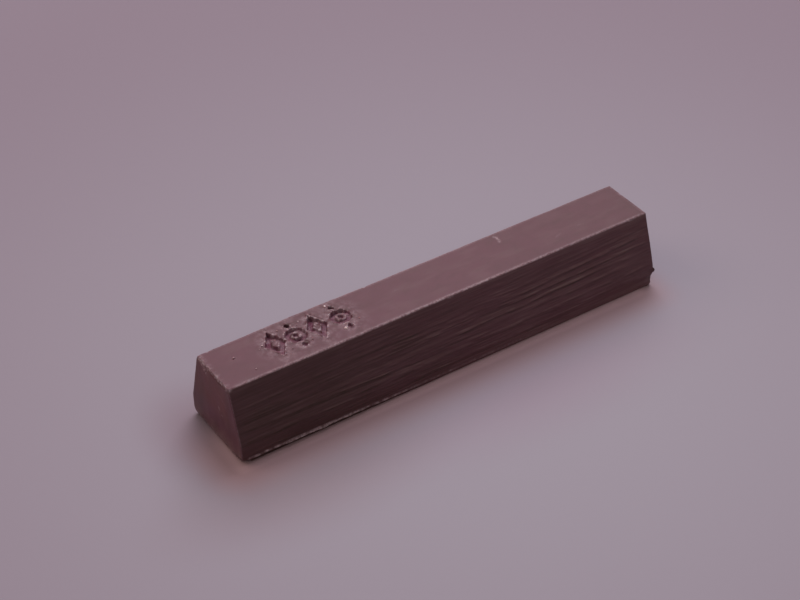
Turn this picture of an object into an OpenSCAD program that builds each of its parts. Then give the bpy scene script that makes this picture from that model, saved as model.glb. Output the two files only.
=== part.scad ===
// Furniture repair wax stick: a solid cast bar with leaning sides, a rounded skirt at its foot,
// straight draw lines along both sides and a row of punched marks on top, and the loose crumbs
// that the punch left on the top face.
// The origin is the middle of the foot. X runs along the bar, Y to its back, Z up. Millimetres.

/* [Bar] */
// Length of the bar along its top face
bar_l = 80; // [60:1:110]
// Width of the top face
top_w = 9.8; // [9:0.1:16]
// Height of the bar
bar_h = 13.5; // [10:0.1:18]
// How far each long side leans out between the top and the skirt
side_lean = 2.7; // [0.5:0.1:5]
// Height of the upright skirt under the leaning sides
skirt_h = 3.9; // [2.2:0.1:6]
// Height of the rounded edge of the foot
foot_h = 1.8; // [0.8:0.1:2.2]
// How far the foot is tucked in under the long sides
side_tuck = 0.7; // [0.2:0.05:2]
// How far the foot is tucked in under the ends
end_tuck = 0.55; // [0.2:0.05:2]
// Height of the worn bevel round the top face
top_bevel = 0.25; // [0.1:0.05:1]
// Width of the worn bevel down each upright corner
corner_bevel = 0.2; // [0.1:0.05:1]

/* [Draw lines] */
// Spacing of the draw lines, measured up the side
line_pitch = 0.98; // [0.6:0.02:2]
// Depth of the deepest draw line
line_d = 0.12; // [0.04:0.01:0.25]

/* [Flash fin] */
// Length of the fin along the foot of the front side
fin_l = 36; // [10:1:55]
// How far the fin stands out of the skirt
fin_out = 0.21; // [0.1:0.01:0.8]
// Thickness of the fin
fin_t = 0.25; // [0.1:0.05:0.6]
// Height of the underside of the fin above the foot
fin_z = 0.5; // [0.2:0.05:1.5]

/* [Punched marks] */
// Distance from the left end of the top face to the middle of the row of marks
marks_from_end = 17.5; // [15:0.5:30]
// Distance from the middle of the top face to the middle line of the marks, towards the back
marks_back = 0.5; // [0:0.1:1]
// Average spacing of the marks
mark_pitch = 4; // [3.8:0.1:4.6]
// Height of a mark, across the bar
mark_h = 6.1; // [4.5:0.1:7]
// Width of a mark, along the bar
mark_w = 3.4; // [2.6:0.1:3.4]
// Width of a punched stroke
stroke_w = 0.8; // [0.4:0.05:1]
// Depth of a punched stroke
stroke_d = 0.5; // [0.2:0.05:1]

/* [Crumbs] */
// Size of the largest crumb
crumb_s = 0.6; // [0.3:0.05:0.8]

/* [Hidden] */

// Colours of the wax and of its paler crumbs
wax_colour = [0.27, 0.17, 0.18];
crumb_colour = [0.55, 0.42, 0.42];
// How far a cut runs past the face that it opens
overrun = 1;
// Half the length, half the width of the top face, and half the width of the skirt
half_l = bar_l / 2;
top_half_w = top_w / 2;
skirt_half_w = top_half_w + side_lean;
// How far the long sides lean back from upright, in degrees
lean_angle = atan(side_lean / (bar_h - skirt_h));
// Points over one draw line, and facets over the rounded edge of the foot at the ends
line_steps = 4;
foot_steps = 8;
// Draw lines that fit under the bevel, and how deep each is, as a share of the deepest, from the
// foot up, used over again where there are more lines
line_n = ceil((bar_h - top_bevel) / line_pitch) - 1;
line_depth_shares = [0.5, 0.8, 0.6, 1, 0.7, 0.9, 0.5, 1, 0.75, 0.55, 0.9, 0.4, 0.3];
// Middle of the row of marks
marks_x = marks_from_end - half_l;
// Places of the marks as shares of their spacing, and how each leans, in degrees
mark_place_shares = [-1.53, -0.61, 0.35, 1.42];
mark_leans = [-3, 2, -2, 4];
// Ragged outer edge of the fin: places along it and how far it stands out, as shares
fin_edge_shares = [
    [0, 0.6], [0.02, 1], [0.06, 0.7], [0.11, 0.85], [0.17, 0.6], [0.22, 0.95], [0.27, 0.75],
    [0.33, 1], [0.4, 0.7], [0.46, 0.9], [0.52, 0.6], [0.58, 0.8], [0.66, 0.5], [0.72, 0.75],
    [0.8, 0.4], [0.88, 0.55], [0.95, 0.25], [1, 0]];
// How far from the end of the bar the fin starts, and how far it is rooted in the skirt
fin_start = end_tuck;
fin_root = side_tuck;
// Crumbs round the marks: place along the bar as a share of the spacing of the marks, place across
// it as a share of their height, size as a share of the largest crumb, and turn in degrees
near_crumb_shares = [
    [-2.03, 0.1, 0.8, 20], [1.22, 0.57, 0.75, 50], [1.21, -0.5, 1, 75], [-1.1, 0.4, 0.6, 10],
    [-0.18, -0.36, 0.7, 35], [-0.12, 0.44, 0.55, 80], [1.98, -0.32, 0.5, 15], [-1.12, -0.42, 0.5, 60]];
// Crumbs between the marks and the end: place along the bar as a share of the distance of the marks
// from the end, place across it as a share of the width of the top, size as a share, and turn
far_crumb_shares = [[-0.75, 0.11, 0.7, 40], [-0.66, -0.3, 0.55, 65]];
// Sides of a crumb and the height of its middle above the top face, as shares of its size, and how
// it is tipped, in degrees
crumb_side_shares = [1, 0.8, 0.7];
crumb_lift_share = 0.3;
crumb_tip = [28, 17];

// How far the rounded edge of the foot is tucked in at a height above the foot
function foot_tuck(z, tuck) =
    z < foot_h ? tuck * (1 - sqrt(1 - pow((foot_h - z) / foot_h, 2))) : 0;

// Half the width of the bar at a height above the foot, without draw lines
function side_y(z) =
    z < skirt_h
        ? skirt_half_w - foot_tuck(z, side_tuck)
        : skirt_half_w - side_lean * (z - skirt_h) / (bar_h - skirt_h);

// Depth of the draw lines at a step up the side
function line_depth(i) =
    line_d * line_depth_shares[floor(i / line_steps) % len(line_depth_shares)]
        * (1 - cos(360 * i / line_steps)) / 2;

// One long side from the foot up, as points of half width and height, and the bevel above it
function side_points() = concat(
    [for (i = [0 : line_n * line_steps])
        let (z = i * line_pitch / line_steps) [side_y(z) - line_depth(i), z]],
    [[side_y(bar_h - top_bevel), bar_h - top_bevel], [top_half_w - top_bevel, bar_h]]);

// One end from the foot up, as points of half length and height, and the bevel above it
function end_points() = concat(
    [for (i = [0 : foot_steps])
        let (z = i * foot_h / foot_steps) [half_l - foot_tuck(z, end_tuck), z]],
    [[half_l, bar_h - top_bevel], [half_l - top_bevel, bar_h]]);

// Outline with the given points on its right and their mirror image on its left
module mirrored_outline(points) {
    n = len(points);
    polygon(concat(points, [for (i = [1 : n]) [-points[n - i][0], points[n - i][1]]]));
}

// Square rod that stands at the origin and takes a bevel off an upright corner
module corner_rod(h) {
    rotate([0, 0, 45])
        cube([corner_bevel * sqrt(2), corner_bevel * sqrt(2), h], center = true);
}

// Cuts for the worn bevels down the corners: one along the lean and one along the skirt
module corner_cuts() {
    for (end = [-1, 1], side = [-1, 1])
        translate([end * half_l, side * skirt_half_w, skirt_h]) {
            rotate([side * lean_angle, 0, 0])
                corner_rod(2 * (bar_h + overrun));
            translate([0, 0, -skirt_h / 2])
                corner_rod(skirt_h + overrun);
        }
}

// The bar without marks or fin: the outline seen from an end meets the one seen from a side
module bar_body() {
    difference() {
        intersection() {
            rotate([90, 0, 90])
                linear_extrude(2 * (half_l + overrun), center = true)
                    mirrored_outline(side_points());
            rotate([90, 0, 0])
                linear_extrude(2 * (skirt_half_w + overrun), center = true)
                    mirrored_outline(end_points());
        }
        corner_cuts();
    }
}

// Thin ragged fin of wax that leaked under the front edge of the mould
module flash_fin() {
    skirt_y = side_y(fin_z);
    x0 = fin_start - half_l;
    translate([0, 0, fin_z])
        linear_extrude(fin_t)
            polygon(concat(
                [[x0, fin_root - skirt_y]],
                [for (s = fin_edge_shares) [x0 + s[0] * fin_l, -skirt_y - s[1] * fin_out]],
                [[x0 + fin_l, fin_root - skirt_y]]));
}

// Long lozenge punched as a stroke, with its middle left standing
module lozenge_cut() {
    middle_to_side = mark_w * mark_h / (2 * norm([mark_w, mark_h]));
    inner = 1 - stroke_w / middle_to_side;
    linear_extrude(stroke_d + overrun)
        difference() {
            lozenge(mark_w, mark_h);
            lozenge(mark_w * inner, mark_h * inner);
        }
}

module lozenge(w, h) {
    polygon([[-w / 2, 0], [0, -h / 2], [w / 2, 0], [0, h / 2]]);
}

// Ring punched as a stroke, with a dot in its middle, one behind it and one in front
module ring_cut() {
    difference() {
        cylinder(h = stroke_d + overrun, d = mark_w, $fn = 64);
        cylinder(h = stroke_d + overrun, d = mark_w - 2 * stroke_w, $fn = 64);
    }
    for (place = [-1, 0, 1])
        translate([0, place * (mark_h - stroke_w) / 2, 0])
            cylinder(h = stroke_d + overrun, d = stroke_w, $fn = 32);
}

// The row of marks, a lozenge and a ring by turns, open at the top face
module mark_cuts() {
    for (i = [0 : len(mark_place_shares) - 1])
        translate([marks_x + mark_place_shares[i] * mark_pitch, marks_back, bar_h - stroke_d])
            rotate([0, 0, mark_leans[i]])
                if (i % 2 == 0) lozenge_cut();
                else ring_cut();
}

// The cast bar
module wax_bar() {
    color(wax_colour)
        difference() {
            union() {
                bar_body();
                flash_fin();
            }
            mark_cuts();
        }
}

// One crumb that lies on the top face: a tipped block with its sunk part cut off flush
module crumb(size, turn) {
    intersection() {
        translate([0, 0, size * crumb_lift_share])
            rotate([crumb_tip[0], crumb_tip[1], turn])
                cube(size * crumb_side_shares, center = true);
        translate([-size, -size, 0])
            cube([2 * size, 2 * size, 2 * size]);
    }
}

// All the crumbs, each resting on the top face
module wax_crumbs() {
    color(crumb_colour) {
        for (s = near_crumb_shares)
            translate([marks_x + s[0] * mark_pitch, marks_back + s[1] * mark_h, bar_h])
                crumb(s[2] * crumb_s, s[3]);
        for (s = far_crumb_shares)
            translate([marks_x + s[0] * marks_from_end, s[1] * top_w, bar_h])
                crumb(s[2] * crumb_s, s[3]);
    }
}

wax_bar();
wax_crumbs();
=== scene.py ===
import math

import bmesh
import bpy
import numpy as np
from mathutils import Matrix, Vector


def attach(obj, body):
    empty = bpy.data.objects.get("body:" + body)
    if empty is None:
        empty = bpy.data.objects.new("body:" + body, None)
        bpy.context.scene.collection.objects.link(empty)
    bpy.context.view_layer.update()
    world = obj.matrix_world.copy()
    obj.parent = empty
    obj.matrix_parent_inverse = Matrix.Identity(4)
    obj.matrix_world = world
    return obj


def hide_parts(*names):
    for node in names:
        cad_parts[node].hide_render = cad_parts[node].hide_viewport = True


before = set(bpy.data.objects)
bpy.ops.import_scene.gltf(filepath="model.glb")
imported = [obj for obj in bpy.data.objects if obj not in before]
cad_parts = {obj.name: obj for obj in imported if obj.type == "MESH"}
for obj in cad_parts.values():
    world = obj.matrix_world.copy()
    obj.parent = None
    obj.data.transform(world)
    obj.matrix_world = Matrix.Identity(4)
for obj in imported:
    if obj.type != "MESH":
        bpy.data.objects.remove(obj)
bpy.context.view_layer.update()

# Furniture repair wax stick: one cast bar of hard wax with draw lines down its long sides, a ragged
# lip of flash along its front foot, a row of punched marks on top, and the crumbs the punch left.
# X runs along the bar, Y to its back, Z up. Values are in millimetres unless they say otherwise.
MM = 0.001

# The bar
BAR_LENGTH = 80.0
BAR_HEIGHT = 13.5
TOP_HALF_WIDTH = 4.9
SKIRT_HALF_WIDTH = 7.6
SKIRT_HEIGHT = 3.9
FOOT_HEIGHT = 1.8
SIDE_TUCK = 0.7
END_TUCK = 0.55
EDGE_SOFTNESS = 0.24
EDGE_SEGMENTS = 4
UNDERSIDE_INSET = 0.4
# Edges of the finished bar that turn less than this many degrees are smooth
SMOOTH_ANGLE = 55
# How near two measures are that count as the same, and a distance past any on the bar
NEAR = 0.01
FAR_AWAY = 1e9

# The facets that the finish is worked into: heights of the rows under the skirt, and the counts of
# cuts over the skirt, the leaning sides and the width of the bar
FOOT_ROWS = (0.1, 0.22, 0.34, 0.44, 0.52, 0.6, 0.68, 0.76, 0.85, 0.95, 1.07, 1.2, 1.4, 1.6)
SKIRT_CUTS = 14
LEAN_CUTS = 66
WIDTH_CUTS = 34
# Ends of the stretches along the bar, and the cuts in each
STRETCHES = ((-39.8, -20.0, 78), (-20.0, -3.0, 66), (-3.0, 18.0, 52), (18.0, 39.8, 52))
# An edge longer than this runs all along, across or up the bar, or all up the skirt
LONG_EDGE = 5
SKIRT_EDGE = 1.5
# A face turned at least this far towards an axis belongs to that flat side
FACING = 0.99
# The underside and the flattest row of the rounded foot are turned down at least this far
UNDERSIDE_FACING = 0.9
# Zones of the top that get finer facets, with the cuts in them: places along X, then along Y
MARK_ZONE = (-31.6, -13.6, -3.6, 4.5)
SCUFF_ZONE = (14.0, 16.2, 1.2, 5.0)
FINER_ZONES = ((MARK_ZONE, 2), (SCUFF_ZONE, 1))
# The left end gets finer facets from the first height up, and behind a place from the second up
END_RIM_HEIGHT = 12.2
END_CHIPS_HEIGHT = 11.2
END_CHIPS_BEHIND = 1.2

# The punched marks: middles along the bar, and how each leans, in degrees
MARK_PLACES = (-28.62, -24.94, -21.1, -16.82)
MARK_LEANS = (-3.0, 2.0, -2.0, 4.0)
MARK_MIDDLE_LINE = 0.5
MARK_HEIGHT = 6.1
MARK_WIDTH = 3.4
STROKE_WIDTH = 0.8

# Ridges that the mould drew along the front side, and hollows, which are below 0: height, half
# thickness, places along the bar, and the levels up the side there
FRONT_RIDGES = (
    (0.05, 0.24, (-39, -29, -20, -13), (9.75, 9.8, 10.05, 10.0)),
    (0.036, 0.18, (-39, -30, -22, -13), (8.4, 8.45, 8.6, 8.7)),
    (0.034, 0.15, (-38, -33, -30), (7.85, 7.8, 7.9)),
    (0.03, 0.14, (-24, -18, -13), (8.15, 8.2, 8.1)),
    (-0.055, 0.26, (-39, -30, -20, -10, -4), (7.1, 7.15, 7.25, 7.25, 7.3)),
    (0.055, 0.26, (-39, -30, -23), (6.15, 5.95, 5.85)),
    (0.08, 0.15, (-23, -18, -13), (5.85, 5.7, 5.55)),
    (-0.05, 0.22, (-34, -28, -20, -10, 0, 12), (5.35, 5.3, 5.15, 5.05, 5.15, 5.25)),
    (0.04, 0.2, (-13, -8, -6), (6.45, 6.5, 6.4)),
    (0.05, 0.13, (-6, -2, 2), (6.35, 6.3, 6.3)),
    (0.06, 0.15, (-6, -2, 2), (5.8, 5.85, 5.8)),
    (0.1, 0.2, (1, 4, 9, 14, 20, 28), (6.75, 6.8, 6.95, 7.0, 7.15, 7.35)),
    (-0.05, 0.2, (4, 9, 14, 20, 26, 34), (7.85, 7.8, 7.75, 7.9, 8.0, 8.15)),
    (0.06, 0.26, (-39, -32, -27), (4.25, 4.15, 4.1)),
    (0.065, 0.18, (-26, -22, -19), (3.95, 3.9, 3.85)),
    (0.03, 0.12, (-27, -23, -19), (3.15, 3.1, 3.1)),
    (0.034, 0.12, (-27, -22, -18), (2.65, 2.65, 2.6)),
    (0.045, 0.2, (-39, -35, -31), (1.95, 1.95, 1.9)),
    (-0.045, 0.2, (-33, -22, -12, 0, 14, 24), (1.55, 1.6, 1.65, 1.7, 1.75, 1.9)),
    (0.065, 0.26, (-12, -4, 8, 20, 39), (4.35, 4.35, 4.4, 4.45, 4.6)),
    (0.06, 0.42, (-9, 0, 14, 22), (2.3, 2.4, 2.5, 2.6)),
    (0.07, 0.36, (24, 29, 38), (2.9, 3.0, 2.8)),
    (0.09, 0.25, (13, 16, 19, 22, 29, 38), (8.9, 8.95, 9.15, 9.35, 9.7, 10.0)),
    (0.085, 0.24, (11, 14, 24, 35, 39), (7.95, 8.0, 8.3, 8.5, 8.55)),
    (0.07, 0.22, (24, 29, 35), (7.3, 7.35, 7.2)),
    (0.07, 0.26, (14, 18, 24, 30, 37), (5.9, 5.95, 5.8, 6.0, 5.9)),
    (0.04, 0.24, (14, 20, 30, 37), (10.25, 10.5, 11.0, 11.2)),
    (0.034, 0.2, (16, 24, 33), (11.2, 11.4, 11.8)),
    (0.05, 0.13, (-13, -10, -7), (8.85, 8.85, 8.85)),
    (0.06, 0.13, (-13, -10, -7), (8.25, 8.3, 8.25)),
    (-0.05, 0.16, (-13, -10, -7), (9.6, 9.6, 9.55)),
    (0.05, 0.14, (-6.5, -4, -2.5), (9.0, 9.05, 9.0)),
    (0.055, 0.14, (-6.5, -4, -2.5), (8.3, 8.2, 8.2)),
    (0.06, 0.14, (-1.8, 1, 3.5), (9.15, 9.15, 9.1)),
    (0.06, 0.13, (-1.8, 1, 3.5), (8.55, 8.55, 8.5)),
    (0.055, 0.13, (3, 4, 5.5), (10.15, 10.2, 10.15)),
    (0.055, 0.13, (3, 4, 5.5), (9.25, 9.25, 9.2)),
    (0.05, 0.12, (9.2, 10.5, 12), (9.35, 9.35, 9.3)),
    (0.05, 0.12, (9.2, 10.5, 12), (8.9, 8.9, 8.85)),
    (0.045, 0.12, (9.2, 10.5, 12), (8.45, 8.45, 8.4)),
)

# The lip of flash along the front foot: place along the bar, how far it stands out, and its height
LIP_POINTS = (
    (-39.4, 0.00, 0.95), (-38.6, 0.10, 0.96), (-37.0, 0.16, 0.98), (-35.0, 0.15, 1.00),
    (-33.0, 0.18, 1.00), (-31.5, 0.27, 0.98), (-30.0, 0.19, 0.96), (-28.2, 0.16, 0.95),
    (-26.6, 0.21, 0.95), (-25.5, 0.29, 0.94), (-24.0, 0.16, 0.92), (-22.0, 0.13, 0.90),
    (-20.6, 0.24, 0.90), (-19.6, 0.12, 0.88), (-18.5, 0.25, 0.88), (-17.0, 0.11, 0.82),
    (-14.0, 0.12, 0.76), (-11.0, 0.09, 0.74), (-8.0, 0.10, 0.72), (-5.0, 0.07, 0.72),
    (0.0, 0.06, 0.70), (8.0, 0.07, 0.70), (14.0, 0.05, 0.72), (22.0, 0.03, 0.74), (30.0, 0.00, 0.78))

# Chips in edges and corners: place, reach along X, Y and Z, and depth, below 0 where wax clings
CHIPS = (
    ((-40.0, 2.7, 12.5), (0.3, 0.36, 0.42), 0.15), ((-39.9, 4.3, 13.3), (0.5, 0.5, 0.4), 0.12),
    ((-40.0, 3.3, 12.85), (0.3, 0.3, 0.26), 0.10), ((-40.0, 2.15, 12.2), (0.3, 0.22, 0.40), 0.08),
    ((-39.9, 3.3, 13.4), (0.25, 0.5, 0.2), 0.08), ((-39.9, 1.2, 13.4), (0.2, 0.5, 0.2), 0.05),
    ((-39.9, -1.2, 13.4), (0.2, 0.6, 0.2), 0.05), ((-38.1, 4.85, 13.45), (0.45, 0.25, 0.2), 0.06),
    ((-9.6, 4.85, 13.4), (0.6, 0.3, 0.25), 0.11), ((0.2, -4.9, 13.35), (0.5, 0.2, 0.2), 0.07),
    ((36.8, -4.9, 13.35), (0.4, 0.2, 0.2), 0.06), ((39.9, 1.8, 13.4), (0.2, 0.5, 0.2), 0.07),
    ((40.0, 4.7, 12.9), (0.3, 0.3, 0.5), 0.09), ((27.0, 4.9, 13.4), (0.5, 0.2, 0.2), 0.06),
    ((-40.0, 2.75, 12.65), (0.3, 0.24, 0.17), -0.14), ((-40.0, 2.35, 12.25), (0.3, 0.18, 0.22), -0.12),
    ((-40.0, 3.25, 12.95), (0.3, 0.24, 0.16), -0.12), ((-40.0, 1.5, 12.85), (0.3, 0.22, 0.14), -0.08))
# Nubs and hollows on the lower corners: place, reach and push along X, Y and Z, and how strong the painted
# shade on each is
NUBS = (
    ((40.0, -7.5, 3.1), (0.7, 1.1, 0.6), (0.24, -0.24, 0.0), 0.3),
    ((40.0, -7.5, 1.5), (1.3, 1.3, 1.3), (-0.18, 0.18, 0.0), 0.2),
    ((-39.9, -7.3, -0.2), (2.0, 1.7, 1.3), (0.35, 0.85, 0.0), 1.0))

# Strength of the ridges and how soon their ends fade, how strong the painted highlight on their
# upper flanks and the painted shade on their lower flanks are, how strong the painted highlights on
# the rim of the top and along the lip of flash are, and how strong the painted shade in the strokes is
RIDGE_STRENGTH = 1.15
RIDGE_FADE = 1.5
FLANK_HIGHLIGHT = 0.34
FLANK_SHADE = 1.1
RIM_HIGHLIGHT = 0.57
LIP_HIGHLIGHT = 0.9
MARK_SHADE = 0.05
# Hair-fine lines between the ridges: height, length and spacing, and the height of the grit
FINE_LINES = ((0.030, 12, 0.8), (0.026, 6, 0.42), (0.018, 2.8, 0.26))
GRIT_HEIGHT = 0.004
# The back's lines: count, height of the lowest, spacing, and half thickness
BACK_LINES = (12, 1.6, 0.98, 0.24)
# Half the distance over which a draw line's slope is measured, and the steepest that counts
FLANK_STEP = 0.06
FLANK_LIMIT = 0.6
# How much the lip stands out compared with its points, and how worn the edges are
LIP_STRENGTH = 1.25
FRONT_RIM_WEAR = 0.014
RIM_WEAR = 0.03
CORNER_WEAR = 0.02
# How deep the strokes are at the front of the top and how much deeper at its back
STROKE_DEPTH = 0.40
STROKE_DEEPER = 0.40
# How far the punch slipped along X and Y when it struck again, and how deep it went then; how deep
# the crumbled edge of the left end, the scuffs of the top and the scratches of the end are
SLIP = (0.44, 0.30)
SLIP_DEPTH = 0.10
CRUMBLE_DEPTH = 0.08
SCUFF_DEPTH = 0.02
SCRATCH_DEPTH = 0.01
# How far the punch pushed the top's back and front edges out beside the marks
PUSHED_BACK = 0.14
PUSHED_FRONT = 0.12
# How far the foot is let out again along the front, left and right of the middle
FOOT_LET_OUT = (0.26, 0.38)
# How far the right end stands out, and how much further at its foot
RIGHT_END_OUT = 0.10
RIGHT_FOOT_OUT = 0.22

# Scuffs on the top: points along each, its half thickness, and how pale it is
SCUFFS = (
    (((15.0, 4.3), (15.35, 3.6), (15.25, 2.8), (14.9, 1.9)), 0.20, 0.8),
    (((23.4, -1.9), (24.0, -1.6), (24.8, -1.5)), 0.12, 0.22),
    (((28.2, -1.0), (29.0, -1.3), (29.7, -1.35)), 0.10, 0.18),
    (((-7.0, 1.0), (-5.6, 1.3), (-4.4, 1.3)), 0.10, 0.14))
# Scratches on the left end: points of place across it and height, half thickness, and how pale
END_SCRATCHES = (
    (((-1.0, 6.4), (-1.25, 7.0), (-1.3, 7.6)), 0.07, 0.45),
    (((-2.1, 6.3), (-2.25, 6.9), (-2.15, 7.5)), 0.07, 0.40),
    (((-3.6, 9.0), (-2.6, 9.9), (-1.4, 10.3)), 0.08, 0.18))

# Crumbs on the top face: place, size, turn in degrees, as in the solid model, and how pale each is, partly
# as crushed wax and partly as a painted glint
CRUMBS = (
    (-30.62, 1.11, 0.48, 20, 0.5), (-17.62, 3.977, 0.45, 50, 1.0), (-17.66, -2.55, 0.60, 75, 1.0),
    (-26.9, 2.94, 0.36, 10, 0.3), (-23.22, -1.696, 0.42, 35, 0.2), (-22.98, 3.184, 0.33, 80, 0.3),
    (-14.58, -1.452, 0.30, 15, 0.3), (-26.98, -2.062, 0.30, 60, 0.2), (-35.625, 1.078, 0.42, 40, 0.2),
    (-34.05, -2.94, 0.33, 65, 0.4))
# A crumb's lengths as shares of its size, how many of its sides are broken flat, how far from its
# middle they break, and how high its middle is
CRUMB_SIDES = (0.62, 0.5, 0.34)
BROKEN_SIDES = 7
BREAK_REACH = (0.16, 0.40)
CRUMB_LIFT = 0.1
# Specks of dust: count, places along X and Y, how far from a stroke's middle they lie thickest and
# how soon they thin out, the smallest size and how much larger the largest is
DUST_COUNT = 150
DUST_ZONE = (-31.5, -13.8, -3.6, 4.4)
DUST_RING = 0.5
DUST_REACH = 0.35
DUST_SIZE = 0.07
DUST_SIZE_RANGE = 0.17
# A speck's length, width and thickness as shares of its size, its unevenness, height and paleness
DUST_LENGTH = (0.6, 1.4)
DUST_WIDTH = (0.6, 1.0)
DUST_THICKNESS = 0.6
DUST_UNEVENNESS = (0.65, 1.15)
DUST_LIFT = 0.05
DUST_PALE = 0.4


# Working by hand: selecting, cutting and noise

# Large numbers that mix a place and a seed into one of many directions, and the noise's strength
PLACE_MIX = (73856093, 19349663)
SEED_MIX = 83492791
SPREAD_MIX = 1274126177
LAST_32_BITS = 0xFFFFFFFF
DIRECTIONS = 4096
GRAIN_STRENGTH = 1.6


def deselect_everything():
    bpy.ops.object.select_all(action="DESELECT")


def pick(shape, kind, wanted):
    """Select only those vertices, edges or faces of a shape in edit mode that are wanted."""
    bpy.ops.mesh.select_mode(type=kind)
    bpy.ops.mesh.select_all(action="DESELECT")
    mesh = bmesh.from_edit_mesh(shape.data)
    parts = {"VERT": mesh.verts, "EDGE": mesh.edges, "FACE": mesh.faces}[kind]
    for part in parts:
        if wanted(part):
            part.select_set(True)
    mesh.select_flush_mode()
    bmesh.update_edit_mesh(shape.data)


def run(edge, axis):
    """How far an edge runs along an axis, in millimetres."""
    return abs(edge.verts[0].co[axis] - edge.verts[1].co[axis]) / MM


def middle(part, axis):
    """Middle of an edge or face along an axis, in millimetres."""
    return sum(v.co[axis] for v in part.verts) / len(part.verts) / MM


def cut_through(place, direction):
    """Cut all the faces with a flat plane, and keep both sides."""
    bpy.ops.mesh.select_all(action="SELECT")
    bpy.ops.mesh.bisect(plane_co=[MM * c for c in place], plane_no=direction)


def grain(u, v, seed):
    """Smooth noise over a plane, between about -1 and 1, that is the same on every run."""
    u0 = np.floor(u)
    v0 = np.floor(v)
    total = np.zeros_like(u)
    for du in (0, 1):
        for dv in (0, 1):
            a = (u0 + du).astype(np.int64) & 0xFFFF
            b = (v0 + dv).astype(np.int64) & 0xFFFF
            mix = (a * PLACE_MIX[0] + b * PLACE_MIX[1] + seed * SEED_MIX) & LAST_32_BITS
            mix = ((mix ^ (mix >> 13)) * SPREAD_MIX) & LAST_32_BITS
            angle = ((mix ^ (mix >> 16)) & (DIRECTIONS - 1)) * (math.tau / DIRECTIONS)
            fu = u - u0 - du
            fv = v - v0 - dv
            fade = (1 - fade_curve(np.abs(fu))) * (1 - fade_curve(np.abs(fv)))
            total += fade * (np.cos(angle) * fu + np.sin(angle) * fv)
    return total * GRAIN_STRENGTH


def grain_along(u, seed, row=0):
    """Smooth noise along a line, with a pattern of its own for each row."""
    return grain(u, u * 0 + row, seed)


def fade_curve(t):
    """Smoother step from 0 to 1 that noise fades by."""
    return t * t * t * (t * (t * 6 - 15) + 10)


def ramp(value, low, high):
    """Smooth step from 0 at low to 1 at high."""
    t = np.clip((value - low) / (high - low), 0, 1)
    return t * t * (3 - 2 * t)


def bump_at(value, place, reach):
    return np.exp(-((value - place) / reach) ** 2)


def path_distance(u, v, points):
    """Distance from a path of short straight lines, and the share of the way along it."""
    best = np.full(u.shape, FAR_AWAY)
    along = np.zeros(u.shape)
    steps = len(points) - 1
    for i in range(steps):
        (u0, v0), (u1, v1) = points[i], points[i + 1]
        du = u1 - u0
        dv = v1 - v0
        t = np.clip(((u - u0) * du + (v - v0) * dv) / (du * du + dv * dv), 0, 1)
        d = np.hypot(u - u0 - t * du, v - v0 - t * dv)
        nearer = d < best
        best = np.where(nearer, d, best)
        along = np.where(nearer, (i + t) / steps, along)
    return best, along


# The bar's main form

def foot_tuck(height, tuck):
    """How far the rounded foot is tucked in at a height."""
    return tuck * (1 - math.sqrt(1 - ((FOOT_HEIGHT - height) / FOOT_HEIGHT) ** 2))


def cast_bar():
    """The plain bar with leaning sides, upright skirt, rounded foot and softened edges."""
    deselect_everything()
    bpy.ops.mesh.primitive_cube_add(size=1, location=(0, 0, MM * BAR_HEIGHT / 2))
    bar = bpy.context.object
    bar.name = "cast_wax_bar"
    bar.data.name = "cast_wax_bar"
    bar.scale = (MM * BAR_LENGTH, 2 * MM * SKIRT_HALF_WIDTH, MM * BAR_HEIGHT)
    bpy.ops.object.transform_apply(location=True, rotation=True, scale=True)
    bpy.ops.object.mode_set(mode="EDIT")
    for height in FOOT_ROWS + (FOOT_HEIGHT, SKIRT_HEIGHT):
        cut_through((0, 0, height), (0, 0, 1))
    pick(bar, "VERT", lambda v: v.co.z > MM * (BAR_HEIGHT - NEAR))
    bpy.ops.transform.resize(value=(1, TOP_HALF_WIDTH / SKIRT_HALF_WIDTH, 1), center_override=(0, 0, 0))
    for height in (0.0,) + FOOT_ROWS:
        across = 1 - foot_tuck(height, SIDE_TUCK) / SKIRT_HALF_WIDTH
        along = 1 - foot_tuck(height, END_TUCK) / (BAR_LENGTH / 2)
        pick(bar, "VERT", lambda v: abs(v.co.z - MM * height) < MM * NEAR)
        bpy.ops.transform.resize(value=(along, across, 1), center_override=(0, 0, 0))
    pick(bar, "FACE", lambda f: f.normal.z < -UNDERSIDE_FACING)
    bpy.ops.mesh.delete(type="ONLY_FACE")
    pick(bar, "EDGE", lambda e: run(e, 2) > NEAR or middle(e, 2) > BAR_HEIGHT - NEAR)
    bpy.ops.mesh.bevel(offset=MM * EDGE_SOFTNESS, segments=EDGE_SEGMENTS, affect="EDGES")
    lay_facets(bar)
    bpy.ops.object.mode_set(mode="OBJECT")
    return bar


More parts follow.
